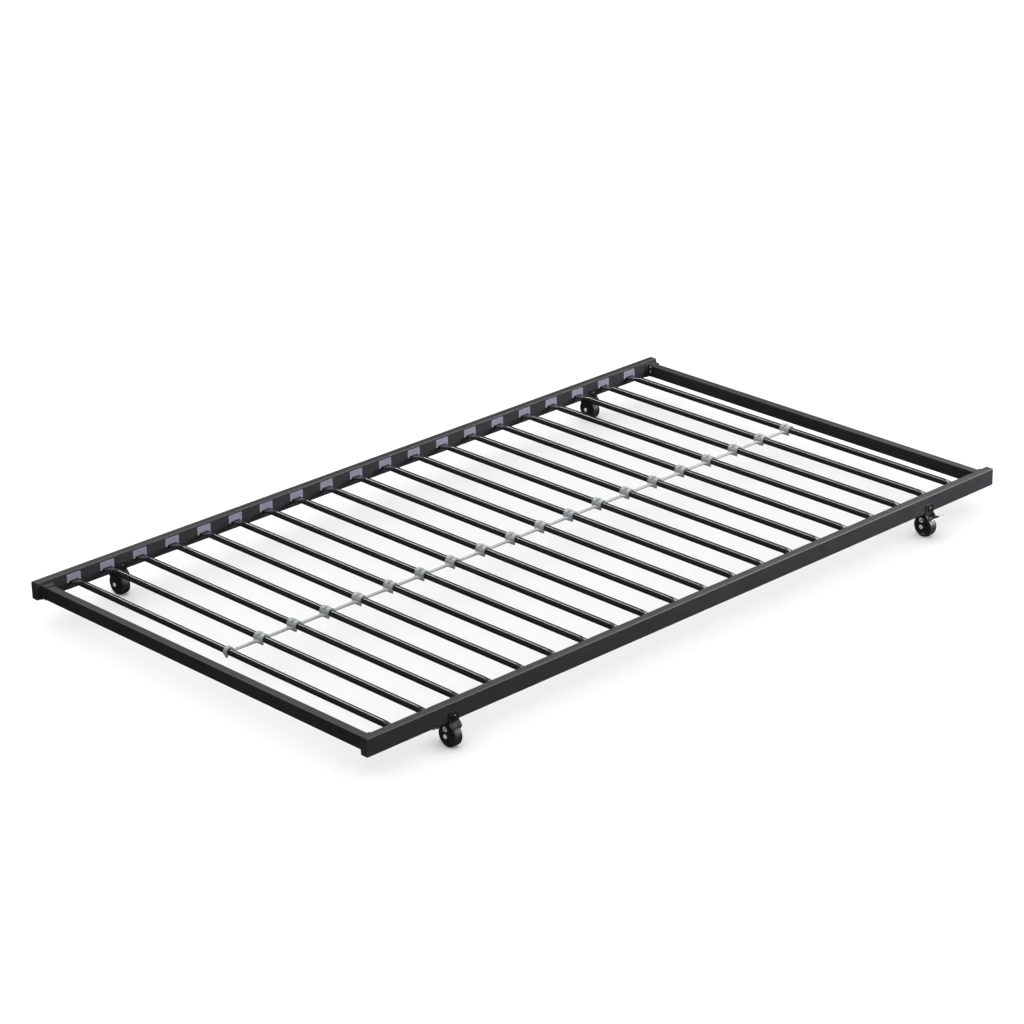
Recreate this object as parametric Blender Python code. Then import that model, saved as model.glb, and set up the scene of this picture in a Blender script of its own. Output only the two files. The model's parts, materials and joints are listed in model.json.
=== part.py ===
"""Trundle bed: a low steel slat frame on four swivel casters.

Metres, +Z up. X runs along the bed, the front side faces -Y, and the origin is on the floor
under the middle of the frame.
"""

from math import cos, pi, radians, sin

import bmesh
import bpy

# ---- Driving dimensions ----

FRAME_LENGTH = 1.905
FRAME_WIDTH = 1.090
FLOOR_CLEARANCE = 0.058
GAP = 0.0003

# Side rails: rectangular tube on edge, closed by plastic plugs
RAIL_WIDTH = 0.020
RAIL_HEIGHT = 0.040
TUBE_WALL = 0.0015
TUBE_CORNER = 0.002
CAP_FLANGE = 0.003
CAP_PLUG_DEPTH = 0.016

# End rails: a lower tube, level with the side rails' undersides
END_RAIL_WIDTH = 0.020
END_RAIL_HEIGHT = 0.030
END_RAIL_INSETS = {"left": 0.014, "right": 0.007}

# Corner brackets: a plate on the side rail and a sleeve round the end rail
BRACKET_SHEET = 0.002
BRACKET_OUTER_MARGIN = 0.006
BRACKET_INNER_MARGIN = 0.013
BRACKET_BOTTOM = 0.0005
SLEEVE_BOTTOM = 0.0015
SLEEVE_REACH = 0.012

# Slats: round tube, flattened where each end enters its slot
SLAT_COUNT = 20
SLAT_PITCH = 0.090
SLAT_RADIUS = 0.0075
SLAT_WALL = 0.0012
SLAT_HEIGHT = 0.019
SLAT_IN_SLOT = 0.008
FLAT_WIDTH = 0.022
FLAT_THICKNESS = 0.0034
FLAT_DROP = 0.0021
FLAT_LENGTH = 0.045

# Slots in the side rails' inner walls: room for a slat's end and its plastic liner
SLOT_WIDTH = 0.038
SLOT_BOTTOM = 0.0132
SLOT_TOP = 0.0356

# Centre support: a clip on each slat, joined by rods
CLIP_INNER = SLAT_RADIUS + GAP
CLIP_OUTER = 0.0112
CLIP_SPAN = (-0.013, 0.013)
FIRST_CLIP_SPAN = (-0.007, 0.002)
CLIP_MOUTH = radians(60)
BOSS_RADIUS = 0.0042
BOSS_TOP = 0.0126
ROD_RADIUS = 0.0031
ROD_DROP = 0.0033
GUSSET_REACH = 0.020
GUSSET_THICKNESS = 0.003
GUSSET_TIP = 0.0056
GUSSET_ROOT = 0.024

# Casters: one under each side rail, near its ends
CASTER_X = 0.727
WHEEL_RADIUS = 0.025
WHEEL_WIDTH = 0.022
HUB_RADIUS = 0.009
AXLE_RADIUS = 0.004
AXLE_HEAD_RADIUS = 0.0055
AXLE_HEAD = 0.0013

# Fork: two legs and a hood, stamped from one sheet
FORK_SHEET = 0.0018
FORK_HALF_WIDTH = 0.0145
FORK_TOP = FLOOR_CLEARANCE - 0.0022
HOOD_FLAT = 0.013
HOOD_REACH = 0.020
HOOD_EDGE = 0.0475
LEG_FOOT_RADIUS = 0.0075

# Saddle: a U of sheet round the rail's underside, held by a through bolt
SADDLE_SHEET = 0.0016
SADDLE_HALF_LENGTH = 0.014
SADDLE_TOP = 0.021
SADDLE_CORNER = 0.006
BOLT_HEIGHT = 0.0085
BOLT_RADIUS = 0.003
BOLT_HOLE = 0.0033
BOLT_HEAD_RADIUS = 0.006
BOLT_HEAD = 0.003
SOCKET_RADIUS = 0.0022
NUT_RADIUS = 0.0055
NUT_HEIGHT = 0.004

# Kingpin: a rivet through the saddle's base and the fork's roof
KINGPIN_RADIUS = 0.003
KINGPIN_HOLE = 0.0033
KINGPIN_TOP_HEAD_RADIUS = 0.0055
KINGPIN_TOP_HEAD = 0.0012
KINGPIN_LOW_HEAD_RADIUS = 0.005
KINGPIN_LOW_HEAD = 0.0011
HEAD_ROOM_RADIUS = 0.007

# Brake lever: two arms between the fork's legs and the wheel, with a pedal across their ends
PIVOT_HEIGHT = 0.041
PIVOT_RADIUS = 0.0025
PIVOT_HOLE = 0.0028
PIVOT_HEAD_RADIUS = 0.006
PIVOT_HEAD = 0.0009
LEVER_SHEET = 0.001
LEVER_EYE_RADIUS = 0.0055
PEDAL_START = (0.0256, 0.0058)
PEDAL_END = (0.0380, 0.0132)
PEDAL_SHEET = 0.0014
PEDAL_HALF_WIDTH = 0.022
ARM_TIP = 0.004
PRESSED = radians(30)

# Facets
ROUND_SIDES = 16
WHEEL_SIDES = 24
SLAT_SIDES = 12
CORNER_STEPS = 3
CLIP_STEPS = 10

# Heights and faces worked out from the above
RAIL_BOTTOM = FLOOR_CLEARANCE
RAIL_MIDDLE_Y = (FRAME_WIDTH - RAIL_WIDTH) / 2
RAIL_INNER_Y = FRAME_WIDTH / 2 - RAIL_WIDTH
SLAT_AXIS_Z = RAIL_BOTTOM + SLAT_HEIGHT
LEG_INNER = FORK_HALF_WIDTH - FORK_SHEET
LEVER_OUTER = LEG_INNER - GAP
LEVER_INNER = LEVER_OUTER - LEVER_SHEET
SADDLE_BASE_TOP = RAIL_BOTTOM - GAP
SADDLE_BASE = SADDLE_BASE_TOP - SADDLE_SHEET
SADDLE_INNER_Y = RAIL_WIDTH / 2 + GAP
SADDLE_OUTER_Y = SADDLE_INNER_Y + SADDLE_SHEET

# name: (colour, roughness, metallic)
FINISHES = {
    "black_powder_coat": ((0.028, 0.028, 0.030, 1.0), 0.45, 0.0),
    "black_plastic": ((0.020, 0.020, 0.021, 1.0), 0.50, 0.0),
    "grey_plastic": ((0.52, 0.56, 0.57, 1.0), 0.45, 0.0),
    "black_steel": ((0.015, 0.015, 0.016, 1.0), 0.35, 0.0),
    "zinc_steel": ((0.62, 0.62, 0.63, 1.0), 0.30, 1.0),
    "black_tread": ((0.025, 0.024, 0.024, 1.0), 0.60, 0.0),
}


# ---- Mesh tools ----

def clear_scene():
    for item in list(bpy.data.objects):
        bpy.data.objects.remove(item, do_unlink=True)


def make_materials():
    made = {}
    for name, (colour, roughness, metallic) in FINISHES.items():
        surface = bpy.data.materials.new(name)
        surface.use_nodes = True
        shader = surface.node_tree.nodes["Principled BSDF"]
        shader.inputs["Base Color"].default_value = colour
        shader.inputs["Roughness"].default_value = roughness
        shader.inputs["Metallic"].default_value = metallic
        made[name] = surface
    return made


def in_space(axis, along, a, b):
    """The point at `along` on the axis, with a and b on the other two axes in X, Y, Z order."""
    if axis == "X":
        return (along, a, b)
    if axis == "Y":
        return (a, along, b)
    return (a, b, along)


def loft(mesh, rings, closed=False):
    """Skin rings of points that match one to one. A closed loft joins its last ring to its first."""
    loops = [[mesh.verts.new(point) for point in ring] for ring in rings]
    count = len(loops[0])
    pairs = list(zip(loops, loops[1:]))
    if closed:
        pairs.append((loops[-1], loops[0]))
    else:
        mesh.faces.new(loops[0])
        mesh.faces.new(loops[-1])
    for near, far in pairs:
        for i in range(count):
            j = (i + 1) % count
            mesh.faces.new((near[i], near[j], far[j], far[i]))


def prism(mesh, outline, axis, start, end):
    loft(mesh, [[in_space(axis, along, a, b) for a, b in outline] for along in (start, end)])


def circle(radius, sides=ROUND_SIDES, centre=(0.0, 0.0)):
    """A polygon with one corner straight down."""
    turns = [2 * pi * i / sides - pi / 2 for i in range(sides)]
    return [(centre[0] + radius * cos(t), centre[1] + radius * sin(t)) for t in turns]


def arc(centre, radius, start, end, steps):
    turns = [start + (end - start) * i / steps for i in range(steps + 1)]
    return [(centre[0] + radius * cos(t), centre[1] + radius * sin(t)) for t in turns]


def rectangle(left, right, bottom, top):
    return [(left, bottom), (right, bottom), (right, top), (left, top)]


def rounded_rectangle(width, height, corner):
    """Centred on the first axis and standing on the second one's zero."""
    side = width / 2 - corner
    corners = (
        ((-side, corner), pi),
        ((side, corner), 1.5 * pi),
        ((side, height - corner), 0.0),
        ((-side, height - corner), 0.5 * pi),
    )
    points = []
    for centre, start in corners:
        points += arc(centre, corner, start, start + pi / 2, CORNER_STEPS)
    return points


def turned(mesh, profile, axis, sides=ROUND_SIDES, bored=False):
    """A solid of revolution about the axis, from (along, radius) points."""
    rings = []
    for along, radius in profile:
        rings.append([in_space(axis, along, a, b) for a, b in circle(radius, sides)])
    loft(mesh, rings, closed=bored)


def tube(mesh, width, height, axis, start, end):
    """A rectangular tube, open at both ends and standing on the axis."""
    inner_corner = TUBE_CORNER - TUBE_WALL
    outer = rounded_rectangle(width, height, TUBE_CORNER)
    inner = rounded_rectangle(width - 2 * TUBE_WALL, height - 2 * TUBE_WALL, inner_corner)
    inner = [(a, b + TUBE_WALL) for a, b in inner]
    order = ((outer, start), (outer, end), (inner, end), (inner, start))
    loft(mesh, [[in_space(axis, along, a, b) for a, b in outline] for outline, along in order], closed=True)


def finish_mesh(name, mesh, smooth=False):
    bmesh.ops.recalc_face_normals(mesh, faces=mesh.faces)
    data = bpy.data.meshes.new(name)
    mesh.to_mesh(data)
    mesh.free()
    if smooth:
        data.shade_smooth()
        data.set_sharp_from_angle(angle=radians(40))
    return data


def place(name, data, finish, location=(0.0, 0.0, 0.0), parent=None):
    piece = bpy.data.objects.new(name, data)
    if not data.materials:
        data.materials.append(MATERIALS[finish])
    piece.location = location
    piece.parent = parent
    bpy.context.collection.objects.link(piece)
    return piece


def combine(piece, label, shape, operation):
    """Cut a shape from the piece, or weld it on. The shape is given in the piece's own frame."""
    tool = bpy.data.objects.new(f"{piece.name}.{label}", finish_mesh(label, shape))
    tool.parent = piece
    tool.hide_render = True
    tool.display_type = "WIRE"
    bpy.context.collection.objects.link(tool)
    step = piece.modifiers.new(label, "BOOLEAN")
    step.operation = operation
    step.solver = "EXACT"
    step.object = tool


def slat_places():
    first = -SLAT_PITCH * (SLAT_COUNT - 1) / 2
    return [first + SLAT_PITCH * i for i in range(SLAT_COUNT)]


# ---- Frame ----

def rail_openings():
    """Slots for the slats in the inner (+Y) wall, and holes for the two saddles' bolts and kingpins."""
    openings = bmesh.new()
    wall_middle = RAIL_WIDTH / 2 - TUBE_WALL / 2
    for x in slat_places():
        outline = rectangle(x - SLOT_WIDTH / 2, x + SLOT_WIDTH / 2, SLOT_BOTTOM, SLOT_TOP)
        prism(openings, outline, "Y", wall_middle - TUBE_WALL, wall_middle + TUBE_WALL)
    for x in (-CASTER_X, CASTER_X):
        prism(openings, circle(BOLT_HOLE, centre=(x, BOLT_HEIGHT)), "Y", -RAIL_WIDTH, RAIL_WIDTH)
        prism(openings, circle(HEAD_ROOM_RADIUS, centre=(x, 0.0)), "Z", -TUBE_WALL, 2 * TUBE_WALL)
    return openings


def make_side_rail(name, y, turn):
    half = FRAME_LENGTH / 2 - CAP_FLANGE - GAP
    mesh = bmesh.new()
    tube(mesh, RAIL_WIDTH, RAIL_HEIGHT, "X", -half, half)
    rail = place(name, finish_mesh(name, mesh), "black_powder_coat", (0.0, y, RAIL_BOTTOM))
    rail.rotation_euler.z = turn
    combine(rail, "openings", rail_openings(), "DIFFERENCE")


def make_end_cap(name, end, side):
    """A flange over the tube's end and a plug inside it."""
    face = FRAME_LENGTH / 2
    step = face - CAP_FLANGE
    slack = TUBE_WALL + GAP
    flange = rounded_rectangle(RAIL_WIDTH, RAIL_HEIGHT, TUBE_CORNER)
    plug = rounded_rectangle(RAIL_WIDTH - 2 * slack, RAIL_HEIGHT - 2 * slack, TUBE_CORNER / 2)
    plug = [(a, b + slack) for a, b in plug]
    order = ((flange, face), (flange, step), (plug, step), (plug, step - CAP_PLUG_DEPTH))
    mesh = bmesh.new()
    loft(mesh, [[(end * x, a, b) for a, b in outline] for outline, x in order])
    place(name, finish_mesh(name, mesh), "black_plastic", (0.0, side * RAIL_MIDDLE_Y, RAIL_BOTTOM))


def make_end_rail(name, end, inset):
    half = RAIL_INNER_Y - BRACKET_SHEET - 2 * GAP
    x = end * (FRAME_LENGTH / 2 - inset - END_RAIL_WIDTH / 2)
    mesh = bmesh.new()
    tube(mesh, END_RAIL_WIDTH, END_RAIL_HEIGHT, "Y", -half, half)
    place(name, finish_mesh(name, mesh), "black_powder_coat", (x, 0.0, RAIL_BOTTOM))


def make_corner_bracket(name, end, side, inset):
    """A plate against the side rail, and an upside-down U over the end rail."""
    tip = FRAME_LENGTH / 2
    plate_back = RAIL_INNER_Y - GAP
    plate_front = plate_back - BRACKET_SHEET
    room_left = inset - GAP
    room_right = inset + END_RAIL_WIDTH + GAP
    room_top = END_RAIL_HEIGHT + GAP
    top = room_top + BRACKET_SHEET

    left = inset - BRACKET_OUTER_MARGIN
    right = inset + END_RAIL_WIDTH + BRACKET_INNER_MARGIN
    plate = rectangle(left, right, BRACKET_BOTTOM, top + BRACKET_BOTTOM)
    sleeve = [
        (room_left - BRACKET_SHEET, SLEEVE_BOTTOM),
        (room_left, SLEEVE_BOTTOM),
        (room_left, room_top),
        (room_right, room_top),
        (room_right, SLEEVE_BOTTOM),
        (room_right + BRACKET_SHEET, SLEEVE_BOTTOM),
        (room_right + BRACKET_SHEET, top),
        (room_left - BRACKET_SHEET, top),
    ]

    def at_corner(outline):
        return [(end * (tip - a), b) for a, b in outline]

    mesh = bmesh.new()
    prism(mesh, at_corner(plate), "Y", side * plate_back, side * plate_front)
    bracket = place(name, finish_mesh(name, mesh), "black_powder_coat", (0.0, 0.0, RAIL_BOTTOM))
    channel = bmesh.new()
    overlap = plate_front + BRACKET_SHEET / 2
    prism(channel, at_corner(sleeve), "Y", side * overlap, side * (plate_front - SLEEVE_REACH))
    combine(bracket, "sleeve", channel, "UNION")


# ---- Slats and their centre support ----

def slat_section(y, roundness, inset=0.0):
    """Points round a slat's section: 0 is the flattened end, 1 is the round tube."""
    radius = SLAT_RADIUS - inset
    points = []
    for a, b in circle(1.0, SLAT_SIDES):
        flat_a = (FLAT_WIDTH / 2 - inset) * abs(a) ** 0.7 * (1 if a > 0 else -1)
        flat_b = (FLAT_THICKNESS / 2 - inset) * abs(b) ** 0.7 * (1 if b > 0 else -1) - FLAT_DROP
        across = flat_a + (radius * a - flat_a) * roundness
        up = flat_b + (radius * b - flat_b) * roundness
        points.append((across, y, up))
    return points


def make_slats():
    """The tube turns from flat to round in a smooth curve, over the length next to each rail."""
    tip = RAIL_INNER_Y + SLAT_IN_SLOT
    steps = 3
    outside = [(tip, 0.0)]
    for i in range(steps + 1):
        share = i / steps
        outside.append((RAIL_INNER_Y - FLAT_LENGTH * share, share * share * (3 - 2 * share)))
    inside = [(tip, 0.0), outside[1], outside[-1]]
    outside += [(-y, roundness) for y, roundness in reversed(outside)]
    inside += [(-y, roundness) for y, roundness in reversed(inside)]

    rings = [slat_section(y, roundness) for y, roundness in outside]
    rings += [slat_section(y, roundness, SLAT_WALL) for y, roundness in reversed(inside)]
    mesh = bmesh.new()
    loft(mesh, rings, closed=True)
    data = finish_mesh("slat", mesh, smooth=True)
    for number, x in enumerate(slat_places(), start=1):
        place(f"slat_{number:02d}", data, "black_powder_coat", (x, 0.0, SLAT_AXIS_Z))


def add_clips(mesh):
    """A C open downward over each slat. The chain's first clip is a plain ring."""
    start = CLIP_MOUTH / 2 - pi / 2
    end = 1.5 * pi - CLIP_MOUTH / 2
    for number, x in enumerate(slat_places()):
        outer = arc((x, 0.0), CLIP_OUTER, start, end, CLIP_STEPS)
        inner = arc((x, 0.0), CLIP_INNER, end, start, CLIP_STEPS)
        near, far = CLIP_SPAN if number else FIRST_CLIP_SPAN
        prism(mesh, outer + inner, "Y", near, far)


def add_rods(mesh):
    inside_wall = (CLIP_INNER + CLIP_OUTER) / 2
    places = slat_places()
    for x, next_x in zip(places, places[1:]):
        outline = circle(ROD_RADIUS, 8, (0.0, -ROD_DROP))
        prism(mesh, outline, "X", x + inside_wall, next_x - inside_wall)


def add_gussets(mesh):
    """A flat fan that spreads each rod to the full length of the next clip."""
    inside_wall = (CLIP_INNER + CLIP_OUTER) / 2
    for x in slat_places()[1:]:
        fan = [
            (x - GUSSET_REACH, -GUSSET_TIP / 2),
            (x - inside_wall, -GUSSET_ROOT / 2),
            (x - inside_wall, GUSSET_ROOT / 2),
            (x - GUSSET_REACH, GUSSET_TIP / 2),
        ]
        low = -ROD_DROP - GUSSET_THICKNESS / 2
        prism(mesh, fan, "Z", low, low + GUSSET_THICKNESS)


def add_bosses(mesh):
    inside_wall = (CLIP_INNER + CLIP_OUTER) / 2
    for x in slat_places()[1:]:
        prism(mesh, circle(BOSS_RADIUS, 10, (x, 0.0)), "Z", inside_wall, BOSS_TOP)


def make_centre_support():
    clips = bmesh.new()
    add_clips(clips)
    data = finish_mesh("centre_support_chain", clips, smooth=True)
    chain = place("centre_support_chain", data, "grey_plastic", (0.0, 0.0, SLAT_AXIS_Z))
    for label, add_shapes in (("rods", add_rods), ("gussets", add_gussets), ("bosses", add_bosses)):
        shapes = bmesh.new()
        add_shapes(shapes)
        combine(chain, label, shapes, "UNION")


# ---- Casters ----

def make_saddle(corner, spot):
    """A U of sheet with rounded ears, below and beside the rail."""
    ear = SADDLE_HALF_LENGTH - SADDLE_CORNER
    top = RAIL_BOTTOM + SADDLE_TOP
    outline = [(-SADDLE_HALF_LENGTH, SADDLE_BASE), (SADDLE_HALF_LENGTH, SADDLE_BASE)]
    outline += arc((ear, top - SADDLE_CORNER), SADDLE_CORNER, 0.0, pi / 2, CORNER_STEPS)
    outline += arc((-ear, top - SADDLE_CORNER), SADDLE_CORNER, pi / 2, pi, CORNER_STEPS)
    mesh = bmesh.new()
    prism(mesh, outline, "Y", -SADDLE_OUTER_Y, SADDLE_OUTER_Y)
    name = f"saddle_{corner}"
    saddle = place(name, finish_mesh(name, mesh), "black_steel", spot)

    room = bmesh.new()
    outside = 2 * SADDLE_HALF_LENGTH
    channel = rectangle(-SADDLE_INNER_Y, SADDLE_INNER_Y, SADDLE_BASE_TOP, top + SADDLE_TOP)
    prism(room, channel, "X", -outside, outside)
    combine(saddle, "rail_room", room, "DIFFERENCE")

    holes = bmesh.new()
    bolt_line = circle(BOLT_HOLE, centre=(0.0, RAIL_BOTTOM + BOLT_HEIGHT))
    prism(holes, bolt_line, "Y", -RAIL_WIDTH, RAIL_WIDTH)
    prism(holes, circle(KINGPIN_HOLE), "Z", SADDLE_BASE - SADDLE_SHEET, SADDLE_BASE_TOP + SADDLE_SHEET)
    combine(saddle, "holes", holes, "DIFFERENCE")


def make_saddle_bolt(corner, spot):
    """A domed socket bolt through the rail, head to the front, with its nut behind."""
    seat = SADDLE_OUTER_Y + GAP
    head = (
        (-seat - BOLT_HEAD / 3, SOCKET_RADIUS),
        (-seat - BOLT_HEAD, SOCKET_RADIUS),
        (-seat - BOLT_HEAD, BOLT_HEAD_RADIUS * 0.6),
        (-seat - BOLT_HEAD * 0.7, BOLT_HEAD_RADIUS * 0.88),
        (-seat - BOLT_HEAD * 0.25, BOLT_HEAD_RADIUS),
        (-seat, BOLT_HEAD_RADIUS),
        (-seat, BOLT_RADIUS),
        (seat + NUT_HEIGHT / 2, BOLT_RADIUS),
    )
    mesh = bmesh.new()
    turned(mesh, head, "Y")
    name = f"saddle_bolt_{corner}"
    x, y, _ = spot
    data = finish_mesh(name, mesh, smooth=True)
    bolt = place(name, data, "black_steel", (x, y, RAIL_BOTTOM + BOLT_HEIGHT))
    nut = bmesh.new()
    prism(nut, circle(NUT_RADIUS, 6), "Y", seat, seat + NUT_HEIGHT)
    combine(bolt, "nut", nut, "UNION")


def make_kingpin(corner, spot):
    """Riveted to the saddle. Its upper head stands in the hole under the rail."""
    top = SADDLE_BASE_TOP + GAP
    low = FORK_TOP - FORK_SHEET - GAP
    profile = (
        (top + KINGPIN_TOP_HEAD, KINGPIN_TOP_HEAD_RADIUS * 0.8),
        (top + KINGPIN_TOP_HEAD / 2, KINGPIN_TOP_HEAD_RADIUS),
        (top, KINGPIN_TOP_HEAD_RADIUS),
        (top, KINGPIN_RADIUS),
        (low, KINGPIN_RADIUS),
        (low, KINGPIN_LOW_HEAD_RADIUS),
        (low - KINGPIN_LOW_HEAD, KINGPIN_LOW_HEAD_RADIUS * 0.8),
    )
    mesh = bmesh.new()
    turned(mesh, profile, "Z", sides=12)
    name = f"kingpin_{corner}"
    place(name, finish_mesh(name, mesh, smooth=True), "zinc_steel", spot)


def fork_outline():
    """Side view: a hood that slopes front and back, and legs that taper to the axle."""
    foot = arc((0.0, WHEEL_RADIUS), LEG_FOOT_RADIUS, -radians(165), -radians(15), 6)
    return foot + [
        (HOOD_REACH, HOOD_EDGE),
        (HOOD_FLAT, FORK_TOP),
        (-HOOD_FLAT, FORK_TOP),
        (-HOOD_REACH, HOOD_EDGE),
    ]


def fork_room():
    """The space between the legs, one sheet below the hood and open front and back."""
    slope = (FORK_TOP - HOOD_EDGE) / (HOOD_REACH - HOOD_FLAT)
    roof = FORK_TOP - FORK_SHEET
    inner_flat = HOOD_FLAT - FORK_SHEET * 0.4
    reach = 2 * HOOD_REACH
    low = roof - slope * (reach - inner_flat)
    roof_line = [(reach, low), (inner_flat, roof), (-inner_flat, roof), (-reach, low)]
    return roof_line + [(-reach, -reach), (reach, -reach)]


def make_fork(corner, swivel, braked):
    mesh = bmesh.new()
    prism(mesh, fork_outline(), "X", -FORK_HALF_WIDTH, FORK_HALF_WIDTH)
    name = f"fork_{corner}"
    fork = place(name, finish_mesh(name, mesh), "black_steel", parent=swivel)

    room = bmesh.new()
    prism(room, fork_room(), "X", -LEG_INNER, LEG_INNER)
    combine(fork, "wheel_room", room, "DIFFERENCE")
    if braked:
        mouth = bmesh.new()
        front = rectangle(-2 * HOOD_REACH, -HOOD_FLAT, 0.0, FORK_TOP + FORK_SHEET)
        prism(mouth, front, "X", -LEG_INNER, LEG_INNER)
        combine(fork, "lever_mouth", mouth, "DIFFERENCE")

    outside = 2 * FORK_HALF_WIDTH
    holes = bmesh.new()
    prism(holes, circle(AXLE_RADIUS + GAP, centre=(0.0, WHEEL_RADIUS)), "X", -outside, outside)
    prism(holes, circle(KINGPIN_HOLE, 12), "Z", FORK_TOP - 2 * FORK_SHEET, FORK_TOP + FORK_SHEET)
    if braked:
        prism(holes, circle(PIVOT_HOLE, 12, (0.0, PIVOT_HEIGHT)), "X", -outside, outside)
    combine(fork, "holes", holes, "DIFFERENCE")


def make_axle(corner, swivel):
    """A pin with a riveted head outside each leg."""
    seat = FORK_HALF_WIDTH + GAP
    end = seat + AXLE_HEAD
    half = (
        (end, AXLE_HEAD_RADIUS * 0.75),
        (end - AXLE_HEAD / 3, AXLE_HEAD_RADIUS),
        (seat, AXLE_HEAD_RADIUS),
        (seat, AXLE_RADIUS),
    )
    profile = [(-x, radius) for x, radius in half] + list(reversed(half))
    mesh = bmesh.new()
    turned(mesh, profile, "X")
    name = f"axle_{corner}"
    data = finish_mesh(name, mesh, smooth=True)
    place(name, data, "zinc_steel", (0.0, 0.0, WHEEL_RADIUS), swivel)


def make_wheel(corner, swivel):
    """A solid wheel with a dished face round its hub."""
    face = WHEEL_WIDTH / 2
    dish = face - 0.0025
    shoulder = 0.003
    half = (
        (face, AXLE_RADIUS + GAP),
        (face, HUB_RADIUS),
        (dish, HUB_RADIUS + 0.001),
        (dish, WHEEL_RADIUS * 0.7),
        (face, WHEEL_RADIUS * 0.76),
        (face, WHEEL_RADIUS - shoulder),
        (face - shoulder * 0.3, WHEEL_RADIUS - shoulder * 0.3),
        (face - shoulder, WHEEL_RADIUS),
    )
    profile = [(-x, radius) for x, radius in half] + list(reversed(half))
    mesh = bmesh.new()
    turned(mesh, profile, "X", sides=WHEEL_SIDES, bored=True)
    name = f"wheel_{corner}"
    data = finish_mesh(name, mesh, smooth=True)
    place(name, data, "black_tread", (0.0, 0.0, WHEEL_RADIUS), swivel)


def lever_arm_outline():
    """From the eye round the pivot to the pedal, in the lever's own frame."""
    (start_y, start_z), (end_y, end_z) = PEDAL_START, PEDAL_END
    middle = (-(start_y + end_y) / 2, (start_z + end_z) / 2)
    eye = arc((0.0, 0.0), LEVER_EYE_RADIUS, -radians(110), radians(80), 7)
    return eye + [(middle[0], middle[1] + ARM_TIP / 2), (middle[0], middle[1] - ARM_TIP / 2)]


def pedal_outline():
    """A sloping strip of sheet."""
    (start_y, start_z), (end_y, end_z) = PEDAL_START, PEDAL_END
    run = ((end_y - start_y) ** 2 + (end_z - start_z) ** 2) ** 0.5
    lift_y = (end_z - start_z) / run * PEDAL_SHEET / 2
    lift_z = (end_y - start_y) / run * PEDAL_SHEET / 2
    return [
        (-start_y - lift_y, start_z - lift_z),
        (-end_y - lift_y, end_z - lift_z),
        (-end_y + lift_y, end_z + lift_z),
        (-start_y + lift_y, start_z + lift_z),
    ]


def make_brake_lever(corner, swivel, tilt):
    """A pedal, its two arms, and a hollow rivet that holds each arm to its leg."""
    mesh = bmesh.new()
    prism(mesh, pedal_outline(), "X", -PEDAL_HALF_WIDTH, PEDAL_HALF_WIDTH)
    name = f"brake_lever_{corner}"
    data = finish_mesh(name, mesh)
    lever = place(name, data, "zinc_steel", (0.0, 0.0, PIVOT_HEIGHT), swivel)
    lever.rotation_euler.x = tilt
    head_start = FORK_HALF_WIDTH + GAP
    rivet = (
        (LEVER_OUTER - LEVER_SHEET / 2, PIVOT_RADIUS),
        (head_start, PIVOT_RADIUS),
        (head_start, PIVOT_HEAD_RADIUS),
        (head_start + PIVOT_HEAD, PIVOT_HEAD_RADIUS * 0.8),
        (head_start + PIVOT_HEAD, PIVOT_RADIUS * 0.8),
        (head_start, PIVOT_RADIUS * 0.7),
    )
    for label, side in (("left", -1), ("right", 1)):
        arm = bmesh.new()
        prism(arm, lever_arm_outline(), "X", side * LEVER_INNER, side * LEVER_OUTER)
        combine(lever, f"{label}_arm", arm, "UNION")
        pin = bmesh.new()
        turned(pin, [(side * x, radius) for x, radius in rivet], "X", sides=12)
        combine(lever, f"{label}_rivet", pin, "UNION")


def make_caster(corner, x, y, heading=0.0, brake_tilt=None):
    """Everything under one rail. The swivel empty stands on the kingpin's axis."""
    spot = (x, y, 0.0)
    make_saddle(corner, spot)
    make_saddle_bolt(corner, spot)
    make_kingpin(corner, spot)
    swivel = bpy.data.objects.new(f"swivel_{corner}", None)
    swivel.location = spot
    swivel.rotation_euler.z = heading
    bpy.context.collection.objects.link(swivel)
    make_fork(corner, swivel, brake_tilt is not None)
    make_axle(corner, swivel)
    make_wheel(corner, swivel)
    if brake_tilt is not None:
        make_brake_lever(corner, swivel, brake_tilt)


# ---- The bed ----

clear_scene()
MATERIALS = make_materials()

make_side_rail("side_rail_front", -RAIL_MIDDLE_Y, 0.0)
make_side_rail("side_rail_rear", RAIL_MIDDLE_Y, pi)
for end_name, end_sign in (("left", -1), ("right", 1)):
    end_inset = END_RAIL_INSETS[end_name]
    make_end_rail(f"end_rail_{end_name}", end_sign, end_inset)
    for side_name, side_sign in (("front", -1), ("rear", 1)):
        make_end_cap(f"end_cap_{side_name}_{end_name}", end_sign, side_sign)
        make_corner_bracket(f"corner_bracket_{side_name}_{end_name}", end_sign, side_sign, end_inset)

make_slats()
make_centre_support()

make_caster("front_left", -CASTER_X, -RAIL_MIDDLE_Y, heading=pi, brake_tilt=PRESSED)
make_caster("front_right", CASTER_X, -RAIL_MIDDLE_Y, brake_tilt=0.0)
make_caster("rear_left", -CASTER_X, RAIL_MIDDLE_Y)
make_caster("rear_right", CASTER_X, RAIL_MIDDLE_Y)
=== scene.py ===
"""Looks for the trundle bed: black steel frame, slats, centre support and swivel casters.

Metres, +Z up, the front side faces -Y, and the floor is at zero. Parts are placed by the boxes
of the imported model's nodes.
"""

import json
from math import copysign, cos, pi, radians, sin

import bmesh
import bpy
import numpy as np
from mathutils import Matrix, Vector


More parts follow.
